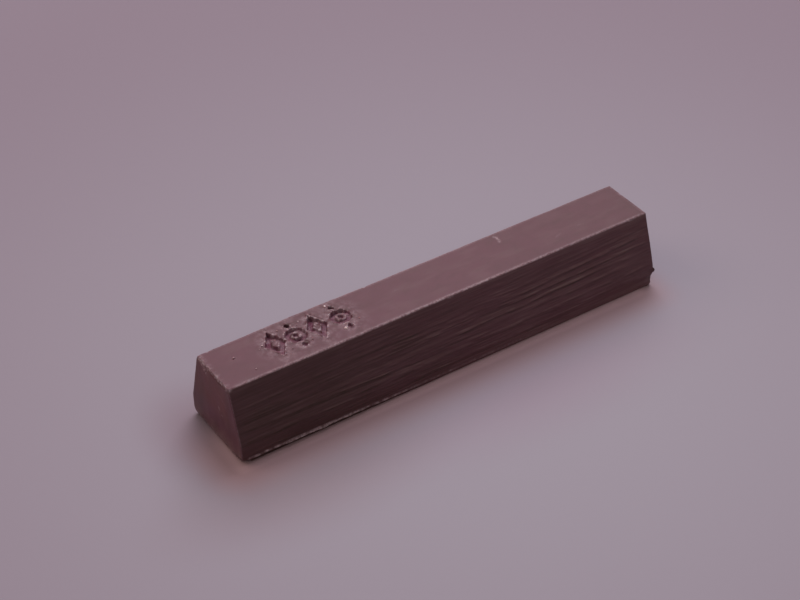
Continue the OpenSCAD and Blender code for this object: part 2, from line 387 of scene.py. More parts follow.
def lay_facets(bar):
    """Cut the faces into the small facets that the finish is worked into."""
    pick(bar, "EDGE", lambda e: run(e, 1) > LONG_EDGE)
    bpy.ops.mesh.subdivide(number_cuts=WIDTH_CUTS)
    pick(bar, "EDGE", lambda e: run(e, 2) > LONG_EDGE)
    bpy.ops.mesh.subdivide(number_cuts=LEAN_CUTS)
    pick(bar, "EDGE", lambda e: run(e, 2) > SKIRT_EDGE)
    bpy.ops.mesh.subdivide(number_cuts=SKIRT_CUTS)
    for start, _, _ in STRETCHES[1:]:
        cut_through((start, 0, 0), (1, 0, 0))
    for start, end, cuts in STRETCHES:
        pick(bar, "EDGE", lambda e: run(e, 0) > LONG_EDGE and start < middle(e, 0) < end)
        bpy.ops.mesh.subdivide(number_cuts=cuts)
    for (low_x, high_x, low_y, high_y), cuts in FINER_ZONES:
        pick(bar, "FACE", lambda f: f.normal.z > FACING and low_x < middle(f, 0) < high_x
             and low_y < middle(f, 1) < high_y)
        bpy.ops.mesh.subdivide(number_cuts=cuts)
    pick(bar, "FACE", lambda f: f.normal.x < -FACING and (middle(f, 2) > END_RIM_HEIGHT
         or middle(f, 2) > END_CHIPS_HEIGHT and middle(f, 1) > END_CHIPS_BEHIND))
    bpy.ops.mesh.subdivide(number_cuts=1)
    bpy.ops.mesh.select_all(action="DESELECT")
    bpy.ops.mesh.select_mode(type="FACE")
    bpy.ops.mesh.select_face_by_sides(number=4, type="GREATER")
    bpy.ops.mesh.quads_convert_to_tris()
    pick(bar, "EDGE", lambda e: e.is_boundary)
    bpy.ops.mesh.edge_face_add()
    bpy.ops.mesh.inset(thickness=MM * UNDERSIDE_INSET)


# The relief of each side

def front_lines(x, z):
    """Relief of the draw lines on the front side, in millimetres."""
    relief = np.zeros_like(x)
    wander = 0.12 * grain(x / 9, z / 6, 11) + 0.05 * grain(x / 3.3, z / 2, 13)
    for i, (height, reach, places, levels) in enumerate(FRONT_RIDGES):
        crest = np.interp(x, places, levels) + wander
        fade = ramp(x, places[0] - RIDGE_FADE, places[0] + RIDGE_FADE)
        fade = fade * (1 - ramp(x, places[-1] - RIDGE_FADE, places[-1] + RIDGE_FADE))
        uneven = 0.85 + 0.6 * grain_along(x / 3.1, 12, i) + 0.45 * grain_along(x / 1.3, 14, i)
        relief += RIDGE_STRENGTH * height * uneven * fade * bump_at(z, crest, reach)
    # The fine lines climb towards the right end, are busiest in the middle, and calmer near the top
    climb = ramp(x, 10, 40) * (0.2 + 0.9 * ramp(z, 5, 10)) * 1.1
    busy = 0.3 + 0.9 * ramp(x, -26, -16) + 0.35 * bump_at(x, 2, 11) - 0.3 * ramp(z, 10, 12)
    return relief + busy * fine_lines(x, z - climb, 21)


def back_lines(x, z):
    """Relief of the draw lines on the back side, which are calmer than the front's."""
    count, lowest, spacing, reach = BACK_LINES
    relief = np.zeros_like(x)
    for i in range(count):
        crest = lowest + spacing * i + 0.35 * grain_along(x / 30, 31, 3.7 * i)
        height = 0.026 + 0.036 * grain_along(x / 12, 32, 5.3 * i)
        relief += np.maximum(height, 0) * bump_at(z, crest, reach)
    return relief + 0.45 * fine_lines(x, z, 41)


def fine_lines(x, z, seed):
    """The hair-fine lines between the ridges, stronger in some patches than in others."""
    wander = 0.25 * grain(x / 17, z / 4, seed)
    lines = np.zeros_like(x)
    for i, (height, length, spacing) in enumerate(FINE_LINES, 1):
        lines += height * grain(x / length, (z + wander) / spacing, seed + i)
    lines += GRIT_HEIGHT * grain(x / 0.9, z / 0.3, seed + 4)
    patch = 0.5 + 0.85 * ramp(grain(x / 7, z / 2.5, seed + 5), -0.3, 0.6)
    return lines * patch


def mark_distance(x, y):
    """Distance from the middle line of the nearest punched stroke."""
    best = np.full(x.shape, FAR_AWAY)
    for i, (place, lean) in enumerate(zip(MARK_PLACES, MARK_LEANS)):
        turn = math.radians(lean)
        u = (x - place) * math.cos(turn) + (y - MARK_MIDDLE_LINE) * math.sin(turn)
        v = (y - MARK_MIDDLE_LINE) * math.cos(turn) - (x - place) * math.sin(turn)
        mark = lozenge_distance if i % 2 == 0 else ring_distance
        best = np.minimum(best, mark(u, v))
    return best


def lozenge_distance(u, v):
    """Distance from the middle line of a lozenge's stroke."""
    half_w = MARK_WIDTH / 2
    half_h = MARK_HEIGHT / 2
    to_side = half_w * half_h / math.hypot(half_w, half_h)
    share = np.abs(u) / half_w + np.abs(v) / half_h
    return np.abs(share * to_side - (to_side - STROKE_WIDTH / 2))


def ring_distance(u, v):
    """Distance from the middle line of a ring's stroke, or from the middle of one of its dots."""
    dot = (MARK_HEIGHT - STROKE_WIDTH) / 2
    away = np.hypot(u, v)
    d = np.minimum(np.abs(away - (MARK_WIDTH - STROKE_WIDTH) / 2), away)
    return np.minimum(d, np.hypot(u, np.abs(v) - dot))


def top_relief(x, y):
    """Relief of the top face with its marks, and how pale and how dark the surface is there."""
    near = ramp(x, -35, -31) * (1 - ramp(x, -14, -10))
    relief = 0.004 * grain(x / 14, y / 6, 51)
    ragged = 0.08 * grain(x / 0.7, y / 0.7, 53) + 0.04 * grain(x / 0.25, y / 0.25, 54)
    d = mark_distance(x, y) + ragged * near
    past_stroke = np.maximum(d - STROKE_WIDTH / 2, 0)
    halo = np.exp(-past_stroke / 0.7) * near
    cloud = np.exp(-past_stroke / 1.5) * near

    # The strokes have uneven floors, and the wax that they pushed up stands as a burr beside them
    stroke = ramp(STROKE_WIDTH / 2 + 0.02 - d, -0.05, 0.08)
    depth = STROKE_DEPTH + STROKE_DEEPER * ramp(y, 0.8, 3.3) + 0.2 * grain(x / 1.9, y / 1.5, 55)
    depth += 0.08 * grain(x / 0.35, y / 0.35, 56)
    burr = bump_at(d, STROKE_WIDTH / 2 + 0.16, 0.13)
    burr_height = 0.03 + 0.10 * ramp(grain(x / 0.8, y / 0.8, 57), -0.2, 0.7)
    relief += near * (burr * burr_height - stroke * depth)

    # The punch slipped and struck again in some places, and left the wax between rough
    slipped = mark_distance(x - SLIP[0], y - SLIP[1]) + ragged
    slip = ramp(STROKE_WIDTH / 2 - slipped, -0.08, 0.1) * ramp(grain(x / 2.3, y / 2.3, 62), -0.1, 0.3)
    relief -= near * slip * (1 - stroke) * SLIP_DEPTH
    rough = 0.03 * grain(x / 0.33, y / 0.33, 58) + 0.06 * grain(x / 0.8, y / 0.8, 64)
    relief += halo * (1 - stroke) * rough

    # Crumbly burrs and patches round the marks are pale, and other patches there dark; strokes and slips
    # get painted shade
    crumbly = ramp(grain(x / 0.75, y / 0.75, 59) + 0.4 * grain(x / 0.3, y / 0.3, 60), -0.1, 0.55)
    patch = grain(x / 1.3, y / 1.3, 63) + 0.3 * grain(x / 0.6, y / 0.6, 65)
    pale = 0.5 * burr * crumbly + 0.42 * halo * crumbly * (1 - stroke)
    pale += 0.30 * cloud * ramp(patch, -0.25, 0.5)
    pale = near * np.clip(pale, 0, 1)
    # Painted shade in the strokes, strongest towards the back of the top, and in the slips
    deep = MARK_SHADE * near * stroke * ramp(y, 1.8, 3.4) * ramp(d, STROKE_WIDTH * 0.75, 0.1)
    deep += near * 0.2 * slip * (1 - stroke)
    deep += 0.2 * halo * (1 - crumbly) * (1 - stroke) * ramp(d, 1.0, 0.5)
    deep += 0.22 * cloud * (1 - stroke) * ramp(-patch, -0.1, 0.45)
    deep += 0.08 * ramp(grain(x / 1.9, y / 1.2, 66) + 0.4 * grain(x / 0.7, y / 0.5, 67), 0.05, 0.6)

    for points, reach, strength in SCUFFS:
        away, along = path_distance(x, y, points)
        line = bump_at(away, 0, reach) * ramp(along, 0, 0.15) * (1 - ramp(along, 0.8, 1))
        relief -= SCUFF_DEPTH * line
        pale = np.maximum(pale, strength * line * (0.75 + 0.5 * grain(x / 0.4, y / 0.4, 61)))
    return relief, pale, deep


def lip_relief(x, z):
    """The lip of flash along the front foot with the hollow under it, and how strong the painted highlight
    along its edge is.
    """
    places = [p[0] for p in LIP_POINTS]
    out = np.interp(x, places, [p[1] for p in LIP_POINTS])
    out = np.maximum(out + 0.035 * grain_along(x / 0.55, 71) * (out > 0.01), 0)
    height = np.interp(x, places, [p[2] for p in LIP_POINTS]) + 0.05 * grain_along(x / 1.3, 72, 4)
    above = ramp(z, height + 0.26, height)
    below = ramp(z, height - 0.10, height - 0.01)
    bright = ramp(z, height + 0.42, height + 0.12) * below
    return LIP_STRENGTH * out * above * below, bright * ramp(out, 0.02, 0.12)


def end_relief(y, z, seed):
    """The ends are nearly plain: slow unevenness with a fine skin on it."""
    relief = 0.03 * grain(y / 5, z / 5, seed) + 0.008 * grain(y / 1.3, z / 1.6, seed + 1)
    return relief + 0.004 * grain(y / 0.5, z / 0.5, seed + 2)


# The finish worked into the bar

class BarSurface:
    """The points of the bar, the part of the bar that each lies on, and the finish that it gets."""

    def __init__(self, bar):
        count = len(bar.data.vertices)
        places = np.empty(count * 3)
        bar.data.vertices.foreach_get("co", places)
        self.places = places.reshape(-1, 3) / MM
        normals = np.empty(count * 3)
        bar.data.vertex_normals.foreach_get("vector", normals)
        self.normals = normals.reshape(-1, 3)
        x, y, z = self.places.T
        along, across, upright = self.normals.T

        # How much each point belongs to a side, the rim of the top or an upright corner
        self.front = ramp(-across, 0.55, 0.9)
        self.back = ramp(across, 0.55, 0.9)
        self.top = ramp(upright, 0.6, 0.97)
        self.upward = ramp(upright, 0.3, 0.75)
        self.end = ramp(np.abs(along), 0.6, 0.97)
        self.left = self.end * (x < 0)
        self.on_front = (y < 0) & (np.abs(x) < 39.6)
        self.past_edge = np.maximum(np.abs(y) - TOP_HALF_WIDTH, np.abs(x) - BAR_LENGTH / 2)
        self.rim = ramp(self.past_edge, -0.34, -0.06) * ramp(z, 12.9, 13.25)
        sharp = np.abs(along) * np.hypot(across, upright) - 0.25
        self.corner = np.clip(4 * np.maximum(0, sharp), 0, 1)
        # How strong the draw lines are at each height
        self.lined = ramp(z, 0.3, 1.6) * (1 - 0.75 * ramp(z, 11.8, 13.2))

        # How far each point moves along its normal, straight up, and along X, Y and Z
        self.relief = np.zeros(count)
        self.lift = np.zeros(count)
        self.push = np.zeros((count, 3))
        # Shares of pale bloom and painted highlight, of dark wax and painted shade, of dusty haze and
        # painted highlight, and the two tints
        self.pale, self.deep, self.haze, self.ruddy, self.plum = np.zeros((5, count))


def finish_long_sides(skin):
    """Draw lines on both long sides, with a painted highlight on the upper flank of each and painted shade
    on the lower one; both sides are darker than the top, the front more so with painted shade.
    """
    x, y, z = skin.places.T
    front = skin.front
    back = skin.back
    skin.relief += (front * front_lines(x, z) + back * back_lines(x, z)) * skin.lined
    skin.relief += (0.05 - 0.045 * skin.top) * grain(x / 23, z / 9 + y / 9, 81)

    above = z + FLANK_STEP
    below = z - FLANK_STEP
    slope = front * (front_lines(x, above) - front_lines(x, below)) / (2 * FLANK_STEP)
    slope += back * (back_lines(x, above) - back_lines(x, below)) / (2 * FLANK_STEP)
    # Upper flanks of the draw lines get a painted highlight, lower flanks painted shade
    flank_light = (front + 0.4 * back) * skin.lined * np.clip(-slope, -FLANK_LIMIT, FLANK_LIMIT)
    skin.haze += (front + back) * (0.05 + 0.035 * ramp(x, -20, 35)) * (1 + 0.4 * grain(x / 8, z / 3, 90))
    skin.haze += FLANK_HIGHLIGHT * np.maximum(flank_light, 0)
    # Painted light on the right part of the front foot, lifting its shade
    skin.haze += front * 0.09 * (1 - ramp(z, 0.4, 2.2)) * ramp(x, -14, 4)
    # Painted highlight in a band under the front top edge
    skin.haze += front * 0.07 * ramp(z, 12.2, 13.0)
    # Both long sides are darker; the front is darker still with painted shade, which lessens towards the
    # right
    skin.deep += front * (0.55 - 0.32 * ramp(x, -34, 14)) + 0.25 * back + FLANK_SHADE * np.maximum(-flank_light, 0)


def finish_top(skin):
    """The marks and scuffs of the top, darker towards the right, with faint dusty smears."""
    x, y, _ = skin.places.T
    relief, pale, deep = top_relief(x, y)
    skin.lift += skin.top * relief
    skin.pale += skin.top * pale
    skin.deep += skin.top * (deep + 0.12 * ramp(x, 8, 36))
    smears = grain(x / 5, y / 2.2, 94) + 0.4 * grain(x / 5, y / 0.6, 97)
    skin.haze += skin.top * 0.030 * ramp(smears, -0.2, 0.6)
    in_stroke = STROKE_WIDTH / 2 + 0.15 - mark_distance(x, y)
    skin.plum += skin.top * ramp(in_stroke, -0.1, 0.1)


def finish_ends(skin):
    """What both ends have: slow unevenness and painted shade at the foot; the right one has a patchy haze.
    """
    x, y, z = skin.places.T
    skin.relief += skin.end * np.where(x < 0, end_relief(y, z, 91), end_relief(y, z, 95))
    # Painted shade at the foot of both ends
    skin.deep += skin.end * 0.5 * (1 - ramp(z, 0.25, 0.6))
    skin.haze += skin.end * (x > 0) * (0.06 + 0.05 * grain(y / 2.2, z / 3, 98))


def finish_lip(skin):
    """The lip of flash with a painted highlight along its broken edge, and painted shade on the foot under
    it.
    """
    x, _, z = skin.places.T
    lip, bright = lip_relief(x, z)
    skin.relief += np.where(skin.on_front, lip, 0)
    # Painted shade on the front foot under the lip
    skin.deep += skin.front * 0.5 * (1 - ramp(z, 0.4, 0.95)) * (1 - bright) * (1 - ramp(x, -20, -2))
    broken = np.clip(0.5 + 0.9 * grain_along(x / 0.9, 86) + 0.35 * bump_at(x, -26, 6), 0.1, 1)
    # Painted highlight along the broken edge of the lip
    skin.pale += np.where(skin.on_front, LIP_HIGHLIGHT * bright * broken, 0)


def wear_edges(skin):
    """Worn edges round the top and down the corners, with a painted highlight along the rim of the top and
    down the corners, and painted shade on the right front corner.
    """
    x, y, z = skin.places.T
    wear = np.clip(0.5 + 0.6 * grain(x / 3.2, y / 1.1, 82) + 0.3 * grain(x / 0.9, y / 0.45, 83), 0, 1)
    rim_wear = np.where(skin.on_front, FRONT_RIM_WEAR, RIM_WEAR)
    skin.relief -= (rim_wear * skin.rim + CORNER_WEAR * skin.corner) * wear

    uneven = np.clip(0.85 + 0.3 * grain(x / 2.7, y / 2.0 + z / 3, 85), 0, 1)
    # Painted highlight along the rim of the top
    band = ramp(skin.past_edge, -0.6, -0.1) * ramp(z, 12.95, 13.3) * skin.upward
    rim_highlight = RIM_HIGHLIGHT * (0.85 + 0.4 * bump_at(x, 0, 18))
    rim_highlight = rim_highlight * uneven * np.where(skin.on_front, band, 0.8 * band)
    skin.pale += rim_highlight * (1 - ramp(-x, 38.5, 39.5))
    # Painted highlight down the upright corners, and painted shade on the right front corner instead
    shaded_right_corner = skin.corner * (x > 0) * (y < 0) * (1 - skin.upward)
    skin.pale += 0.22 * (skin.corner - shaded_right_corner) * uneven * (1 - skin.rim)
    skin.deep += 0.8 * shaded_right_corner


def crumble_left_rim(skin):
    """The top edge of the left end, which crumbled, with pale specks, and hollows below it darkened with
    painted shade.
    """
    x, y, z = skin.places.T
    left_rim = skin.rim * ramp(-x, 39.2, 39.7)
    crumbled = np.clip(0.2 + grain(y / 0.7, z / 0.5, 84) + 0.5 * ramp(y, 1.0, 4.5), 0, 1)
    skin.relief -= CRUMBLE_DEPTH * left_rim * crumbled
    skin.pale += 0.72 * left_rim * (0.4 + 0.6 * crumbled)
    skin.pale += 0.30 * skin.upward * ramp(-x, 39.0, 39.6) * crumbled

    speckled = ramp(grain(y / 0.5, z / 0.36, 100) + 0.3 * ramp(y, -1, 4), 0.0, 0.5)
    high_edge = skin.left * ramp(z, 12.5, 13.0)
    skin.pale += 0.40 * high_edge * speckled
    # Painted shade in the hollows between the pale specks
    skin.deep += 0.15 * high_edge * (1 - speckled)
    skin.relief -= CRUMBLE_DEPTH * high_edge * (1 - speckled)


def shade_left_end(skin):
    """The shades of the left end: dark sides and lower half, painted shade at the front foot corner, a
    painted highlight beside the front corner, dusty foot, pale chips, ruddy middle.
    """
    _, y, z = skin.places.T
    left = skin.left
    skin.deep += left * (0.22 * ramp(y, 1.5, 4.5) + 0.10 * ramp(-z, -8, -2) + 0.10 * ramp(-y, 0.5, 4.5))
    skin.deep += left * 0.18 * grain(y / 1.8, z / 5, 93)
    # Painted shade on the front corner of the foot
    skin.deep += left * 0.5 * ramp(-y, 5.2, 6.4) * (1 - ramp(z, 0.9, 1.8))
    streaky = 0.05 * grain(y / 1.1, z / 4, 96)
    skin.haze += left * (streaky + 0.02 * ramp(-y, 0, 2.5) + 0.06 * ramp(z, 12.0, 13.2))
    skin.haze += left * (0.10 + 0.05 * ramp(-y, -3, 0)) * (1 - ramp(z, 1.4, 4.5))
    front_corner = np.interp(z, (SKIRT_HEIGHT, BAR_HEIGHT), (SKIRT_HALF_WIDTH, TOP_HALF_WIDTH))
    # Painted highlight on a strip beside the front upright corner
    skin.haze += left * 0.045 * bump_at(-y, front_corner - 0.5, 0.4)
    low_edge = bump_at(z, 0.95, 0.45) * ramp(grain(y / 0.7, z / 0.4, 99), -0.2, 0.5)
    skin.pale += left * low_edge * (0.28 + 0.2 * bump_at(y, 2.6, 2.2))
    skin.ruddy += left * ramp(z, 4.5, 7.5) * (1 - ramp(-y, 3.0, 5.5))
    skin.ruddy *= np.clip(1 + 0.5 * grain(y / 2, z / 4, 101), 0, 1)


def reach_share(skin, place, reach):
    """Distance from a place, as a share of a reach along each axis."""
    return np.linalg.norm((skin.places - np.array(place)) / np.array(reach), axis=1)


def chip_edges(skin):
    """Chips knocked out of edges and corners, with painted shade in their hollows and pale borders, and
    pale flakes that cling.
    """
    x, y, z = skin.places.T
    for place, reach, depth in CHIPS:
        away = reach_share(skin, place, reach)
        away = away + 0.3 * grain((x + z) / 0.25, (y + z) / 0.25, 87)
        skin.relief -= depth * (1 - ramp(away, 0.3, 1.0))
        if depth > 0:
            skin.pale = np.maximum(skin.pale, 0.62 * bump_at(away, 0.75, 0.45))
            # Painted shade in the hollow of each chip
            skin.deep = np.maximum(skin.deep, 0.6 * bump_at(away, 0, 0.4))
        else:
            skin.pale = np.maximum(skin.pale, 0.70 * bump_at(away, 0, 0.75))


def push_nubs(skin):
    for place, reach, push, shade in NUBS:
        nub = 1 - ramp(reach_share(skin, place, reach), 0.25, 1.0)
        skin.push += nub[:, None] * np.array(push)
        # Painted shade on each nub and hollow
        skin.deep += shade * nub


def scratch_left_end(skin):
    x, y, z = skin.places.T
    for points, reach, strength in END_SCRATCHES:
        away, _ = path_distance(y, z, points)
        line = bump_at(away, 0, reach) * (x < -39) * skin.end
        skin.relief -= SCRATCH_DEPTH * line
        skin.pale = np.maximum(skin.pale, strength * line)


def finished_places(skin):
    """Where each point ends up, with the edges that the punch pushed out, and a flat underside."""
    x, y, z = skin.places.T
    moved = skin.places + skin.push + skin.normals * skin.relief[:, None]
    moved[:, 2] += skin.lift
    pushed = bump_at(x, -22, 9) * ramp(z, 9, 13.4)
    moved[:, 1] += PUSHED_BACK * pushed * ramp(y, 3.4, 4.7) * (1 + 0.5 * grain_along(x / 2.2, 88))
    moved[:, 1] -= PUSHED_FRONT * pushed * ramp(-y, 3.6, 4.7) * (1 + 0.7 * grain_along(x / 2.6, 89, 7))
    tucked = 1 - np.sqrt(1 - (np.clip(FOOT_HEIGHT - z, 0, FOOT_HEIGHT) / FOOT_HEIGHT) ** 2)
    let_out = FOOT_LET_OUT[0] + (FOOT_LET_OUT[1] - FOOT_LET_OUT[0]) * ramp(x, -14, -6)
    moved[:, 1] -= let_out * tucked * ramp(-y, 6.0, 6.8)
    foot_out = RIGHT_FOOT_OUT * ramp(-z, -12.5, -2.6) * ramp(-y, -3, 7)
    moved[:, 0] += ramp(x, 38.5, 39.9) * (RIGHT_END_OUT + foot_out)
    moved[:, 2] = np.where(z < NEAR, 0, np.maximum(moved[:, 2], NEAR))
    return moved


def work_finish(bar):
    """Move the facets' corners to give the bar the finish of the real one, and keep its masks."""
    skin = BarSurface(bar)
    finish_long_sides(skin)
    finish_top(skin)
    finish_ends(skin)
    finish_lip(skin)
    wear_edges(skin)
    crumble_left_rim(skin)
    shade_left_end(skin)
    chip_edges(skin)
    push_nubs(skin)
    scratch_left_end(skin)
    bar.data.vertices.foreach_set("co", (finished_places(skin) * MM).ravel())
    keep_mask(bar, "pale", skin.pale)
    keep_mask(bar, "deep", skin.deep)
    keep_mask(bar, "haze", skin.haze)
    keep_mask(bar, "ruddy", skin.ruddy)
    keep_mask(bar, "plum", skin.plum)
    keep_mask(bar, "drawn", np.maximum(skin.front, skin.back) * skin.lined)
    bar.data.update()


def keep_mask(shape, name, values):
    """Store a value from 0 to 1 for each vertex, which the material reads."""
    mask = shape.data.attributes.new(name, "FLOAT", "POINT")
    mask.data.foreach_set("value", np.clip(values, 0, 1).astype(np.float32))


def smooth_faces(shape, angle):
    """Shade a piece smooth, except over edges sharper than an angle in degrees."""
    deselect_everything()
    shape.select_set(True)
    bpy.context.view_layer.objects.active = shape
    bpy.ops.object.shade_smooth_by_angle(angle=math.radians(angle))


# Crumbs and dust

def top_height(x, y):
    """Height of the finished top face at one place."""
    return BAR_HEIGHT + top_relief(np.array([x]), np.array([y]))[0][0]


def make_crumb(x, y, size, turn, pale, chance):
    """One crumb: a lump with sides broken flat and rough, sunk a little into the top face."""
    deselect_everything()
    bpy.ops.mesh.primitive_ico_sphere_add(subdivisions=2, radius=1, location=(0, 0, 0))
    crumb = bpy.context.object
    crumb.scale = [MM * size * side for side in CRUMB_SIDES]
    crumb.rotation_euler = (0, 0, math.radians(turn))
    bpy.ops.object.transform_apply(location=True, rotation=True, scale=True)
    bpy.ops.object.mode_set(mode="EDIT")
    for _ in range(BROKEN_SIDES):
        bpy.ops.mesh.select_all(action="SELECT")
        side = Vector(chance.normal(size=3)).normalized()
        reach = MM * size * chance.uniform(*BREAK_REACH)
        bpy.ops.mesh.bisect(plane_co=side * reach, plane_no=side, use_fill=True, clear_outer=True,
                            threshold=MM * 0.0001)
    bpy.ops.mesh.select_all(action="SELECT")
    bpy.ops.mesh.quads_convert_to_tris()
    bpy.ops.mesh.subdivide(number_cuts=1, fractal=0.6, fractal_along_normal=0.5, seed=int(turn))
    bpy.ops.object.mode_set(mode="OBJECT")
    lift = top_height(x, y) + size * CRUMB_LIFT
    crumb.data.transform(Matrix.Translation((MM * x, MM * y, MM * lift)))
    # The crumb's paleness is partly crushed wax and partly a painted glint
    keep_mask(crumb, "pale", np.full(len(crumb.data.vertices), pale))
    return crumb


def join_up(shapes, name):
    deselect_everything()
    for shape in shapes:
        shape.select_set(True)
    bpy.context.view_layer.objects.active = shapes[0]
    bpy.ops.object.join()
    whole = bpy.context.object
    whole.name = name
    whole.data.name = name
    return whole


def scatter_crumbs():
    chance = np.random.default_rng(5)
    crumbs = [make_crumb(*crumb, chance) for crumb in CRUMBS]
    return join_up(crumbs, "wax_crumb_pile")


def scatter_dust():
    """Specks of wax dust round the strokes, thickest close to them."""
    deselect_everything()
    bpy.ops.mesh.primitive_ico_sphere_add(subdivisions=1, radius=MM * 0.5)
    speck = bpy.context.object
    chance = np.random.default_rng(7)
    specks = []
    low_x, high_x, low_y, high_y = DUST_ZONE
    while len(specks) < DUST_COUNT:
        x = chance.uniform(low_x, high_x)
        y = chance.uniform(low_y, high_y)
        away = mark_distance(np.array([x]), np.array([y]))[0]
        if chance.uniform() > math.exp(-abs(away - DUST_RING) / DUST_REACH):
            continue
        size = DUST_SIZE + DUST_SIZE_RANGE * chance.uniform() ** 3
        lift = top_height(x, y) + size * DUST_LIFT
        copy = speck.copy()
        copy.data = speck.data.copy()
        bpy.context.collection.objects.link(copy)
        for vertex in copy.data.vertices:
            vertex.co *= chance.uniform(*DUST_UNEVENNESS)
        length = size * chance.uniform(*DUST_LENGTH)
        width = size * chance.uniform(*DUST_WIDTH)
        shape = Matrix.Diagonal((length, width, size * DUST_THICKNESS, 1))
        turned = Matrix.Rotation(chance.uniform(0, math.tau), 4, "Z")
        place = Matrix.Translation((MM * x, MM * y, MM * lift))
        copy.data.transform(place @ turned @ shape)
        pale = DUST_PALE * chance.uniform() ** 3
        keep_mask(copy, "pale", np.full(len(copy.data.vertices), pale))
        specks.append(copy)
    bpy.data.objects.remove(speck)
    return join_up(specks, "wax_dust")


# Materials

# The wax, its ruddy tint at the left end and its plum tint in the strokes, and dark wax, which also stands
# for painted shade
WAX = (0.1255, 0.0425, 0.0655)
RUDDY_WAX = (0.134, 0.039, 0.048)
PLUM_WAX = (0.139, 0.041, 0.075)
DEEP_WAX = (0.050, 0.028, 0.0235)
# Pale bloom, which also stands for painted highlights, and thin dusty haze, which does too, on the bar;
# and the crumbs, whose pale colour is partly crushed wax and partly a painted glint
BLOOM_AND_HIGHLIGHT = (0.40, 0.283, 0.330)
HAZE_AND_HIGHLIGHT = (0.405, 0.300, 0.292)
CRUMB_WAX = (0.17, 0.07, 0.095)
CRUMB_PALE_AND_GLINT = (0.80, 0.60, 0.66)
# Noise: its stretch along X, Y and Z, its patterns per metre, and its detail where it isn't 3; and
# its usual low and high
CLOUDS = ((1, 2, 2), 110)
SPECKS = ((1, 1, 1), 2600)
FINE_SKIN = ((1, 1, 1), 5200)
STREAKS = ((0.045, 0.25, 1), 3800)
FLOOR_GRAIN = ((1, 1, 1), 1500, 2)
NOISE_RANGE = (0.3, 0.7)
# Roughness of clean wax, and how much rougher its pale bloom and painted highlights make it
WAX_ROUGHNESS = (0.385, 0.415)
BLOOM_ROUGHNESS = 0.25
# Depth of the fine skin on the bar and on the crumbs, its strength, and its share beside streaks
BAR_SKIN = 0.010
CRUMB_SKIN = 0.008
SKIN_STRENGTH = 0.6
SKIN_BESIDE_STREAKS = 0.3
# How wax and the floor's paint take light, on the shader's own sockets
WAX_LIGHT = (("IOR", 1.45), ("Specular IOR Level", 0.17), ("Subsurface Weight", 0.15),
             ("Subsurface Radius", (1.0, 0.4, 0.3)), ("Subsurface Scale", MM * 0.35))
FLOOR_LIGHT = (("Roughness", 0.85), ("Specular IOR Level", 0.2))


def feed(tree, value, socket):
    """Link a node's output to a socket, or set the socket to a plain value."""
    if isinstance(value, bpy.types.NodeSocket):
        tree.links.new(value, socket)
    else:
        socket.default_value = value


def add_node(tree, kind, **sockets):
    """Add a node, and feed its inputs by name, with _ for a space."""
    node = tree.nodes.new(kind)
    for name, value in sockets.items():
        feed(tree, value, node.inputs[name.replace("_", " ")])
    return node


def new_group(name, inputs, outputs):
    """A node group with its sockets, and the nodes that its inputs leave and its outputs enter."""
    group = bpy.data.node_groups.new(name, "ShaderNodeTree")
    for label, kind, value in inputs:
        socket = group.interface.new_socket(label, in_out="INPUT", socket_type="NodeSocket" + kind)
        if value is not None:
            socket.default_value = value
    for label, kind in outputs:
        group.interface.new_socket(label, in_out="OUTPUT", socket_type="NodeSocket" + kind)
    return group, group.nodes.new("NodeGroupInput"), group.nodes.new("NodeGroupOutput")


def new_material(name, light):
    """A material with its nodes, its shader, and the coordinates that its patterns read."""
    material = bpy.data.materials.new(name)
    material.use_nodes = True
    tree = material.node_tree
    shader = tree.nodes["Principled BSDF"]
    for label, value in light:
        shader.inputs[label].default_value = value
    return material, tree, shader, add_node(tree, "ShaderNodeTexCoord").outputs["Object"]


def stretched_noise(tree, vector, stretch, scale, detail=3):
    """Noise whose pattern is stretched along the bar's axes."""
    mapping = add_node(tree, "ShaderNodeMapping", Vector=vector, Scale=stretch)
    noise = add_node(tree, "ShaderNodeTexNoise", Vector=mapping.outputs["Vector"], Scale=scale,
                     Detail=detail, Roughness=0.55)
    return noise.outputs["Fac"]


def remap(tree, value, low, high, first, last):
    """Fade from the first number to the last as a value goes from low to high."""
    node = add_node(tree, "ShaderNodeMapRange", Value=value, From_Min=low, From_Max=high,
                    To_Min=first, To_Max=last)
    node.interpolation_type = "SMOOTHSTEP"
    return node.outputs["Result"]


def remap_over(tree, distance, ends, first, last):
    """Fade between two distances or places in millimetres."""
    return remap(tree, distance, MM * ends[0], MM * ends[1], first, last)


def mix_colours(tree, share, first, second, way="MIX"):
    node = tree.nodes.new("ShaderNodeMix")
    node.data_type = "RGBA"
    node.blend_type = way
    for socket, value in ((0, share), (6, first), (7, second)):
        feed(tree, value, node.inputs[socket])
    return node.outputs[2]


def join_values(tree, way, first, second):
    """Add or multiply two values, and keep the result between 0 and 1."""
    node = tree.nodes.new("ShaderNodeMath")
    node.operation = way
    node.use_clamp = True
    feed(tree, first, node.inputs[0])
    feed(tree, second, node.inputs[1])
    return node.outputs[0]


def multiply(tree, product, *values):
    for value in values:
        product = join_values(tree, "MULTIPLY", product, value)
    return product


def join_vectors(tree, way, first, second=None):
    """Measure or combine places, and give the one output that the way has."""
    node = tree.nodes.new("ShaderNodeVectorMath")
    node.operation = way
    feed(tree, first, node.inputs[0])
    if second is not None:
        feed(tree, second, node.inputs[1])
    return node.outputs["Value" if way in ("DISTANCE", "LENGTH") else "Vector"]


def read_mask(tree, name):
    mask = tree.nodes.new("ShaderNodeAttribute")
    mask.attribute_name = name
    return mask.outputs["Fac"]


def raise_skin(tree, shader, height, strength, depth):
    """Give a shader a fine relief of a depth in millimetres."""
    bump = add_node(tree, "ShaderNodeBump", Height=height, Strength=strength, Distance=MM * depth)
    tree.links.new(bump.outputs["Normal"], shader.inputs["Normal"])


